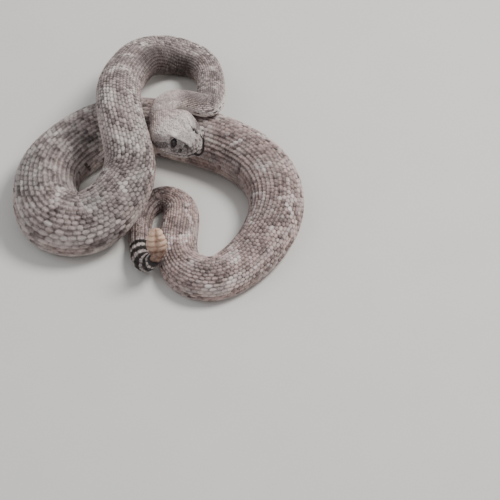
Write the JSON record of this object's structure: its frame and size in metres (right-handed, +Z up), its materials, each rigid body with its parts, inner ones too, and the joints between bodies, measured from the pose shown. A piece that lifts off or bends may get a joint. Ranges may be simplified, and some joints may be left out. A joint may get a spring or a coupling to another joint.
{
  "type": "western diamondback rattlesnake",
  "caption": "Life-size still model of a western diamondback rattlesnake lying in loose coils, head raised over them, tongue out and rattle upright.",
  "frame": {"origin": "on the floor under the centre of the bounding box", "axes": "+Z up; the front of the pose, with the rattle, faces -Y, and the head points to +X and -Y"},
  "size_m": [0.2327, 0.278, 0.0867],
  "materials": {
    "body_skin": "dry keeled scales, pinkish grey-brown with dark and pale speckles",
    "head_skin": "dry small scales, pale grey with a dark stripe behind the eye",
    "tail_skin": "dry keeled scales, black and pale grey rings",
    "eye": "clear gloss over a dark iris with an upright pupil",
    "tongue": "moist black",
    "rattle": "dry horn, tan"
  },
  "bodies": {
    "root": {"head": "head_skin", "lower_jaw": "head_skin", "eye_right": "eye", "eye_left": "eye", "tongue": "tongue", "neck": "body_skin", "neck_fold": "body_skin", "body_01_arch_right": "body_skin", "body_02_arch_left": "body_skin", "body_03_column_back": "body_skin", "body_04_column_front": "body_skin", "body_05_coil_entry": "body_skin", "body_06_coil_front": "body_skin", "body_07_coil_left": "body_skin", "body_08_coil_back": "body_skin", "body_09_crossing": "body_skin", "body_10_right_back": "body_skin", "body_11_right_side": "body_skin", "body_12_right_front": "body_skin", "body_13_right_bottom": "body_skin", "body_14_right_arm": "body_skin", "tail_bend": "tail_skin", "tail_ringed": "tail_skin", "tail_tip": "tail_skin", "rattle": "rattle"}
  },
  "joints": []
}
